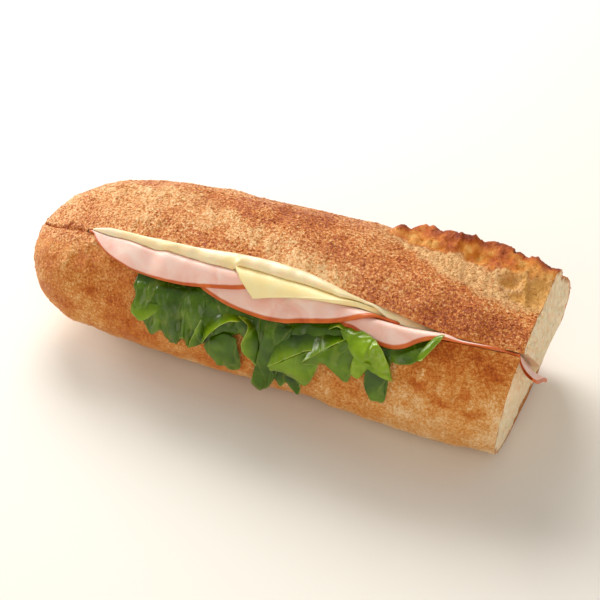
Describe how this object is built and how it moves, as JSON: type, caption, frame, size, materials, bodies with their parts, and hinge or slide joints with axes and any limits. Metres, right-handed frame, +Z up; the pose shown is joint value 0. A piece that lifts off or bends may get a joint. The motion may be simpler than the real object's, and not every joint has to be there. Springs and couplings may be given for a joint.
{
  "type": "filled half baguette with ham and cheese",
  "caption": "Half a crusty baguette, rounded at one end and cut at the other, slit and filled with lettuce, ham, cheese and spread.",
  "frame": {"origin": "middle of the box round the whole sandwich, at the level it rests on", "axes": "+X along the loaf towards its cut end, +Z up, the slit opens towards -Y and up"},
  "size_m": [0.2208, 0.084, 0.062],
  "materials": {
    "crust": "baked crust, dry and slightly blistered",
    "lettuce": "fresh leaf, moist and waxy",
    "ham": "moist sliced meat with an orange-brown rim",
    "cheese": "smooth, slightly waxy slice",
    "spread": "soft, creamy and slightly glossy"
  },
  "bodies": {
    "root": {"bread": "crust", "lettuce_left": "lettuce", "lettuce_right": "lettuce", "lettuce_small": "lettuce", "ham_left": "ham", "ham_middle": "ham", "ham_right": "ham", "cheese": "cheese", "spread": "spread"}
  },
  "joints": []
}
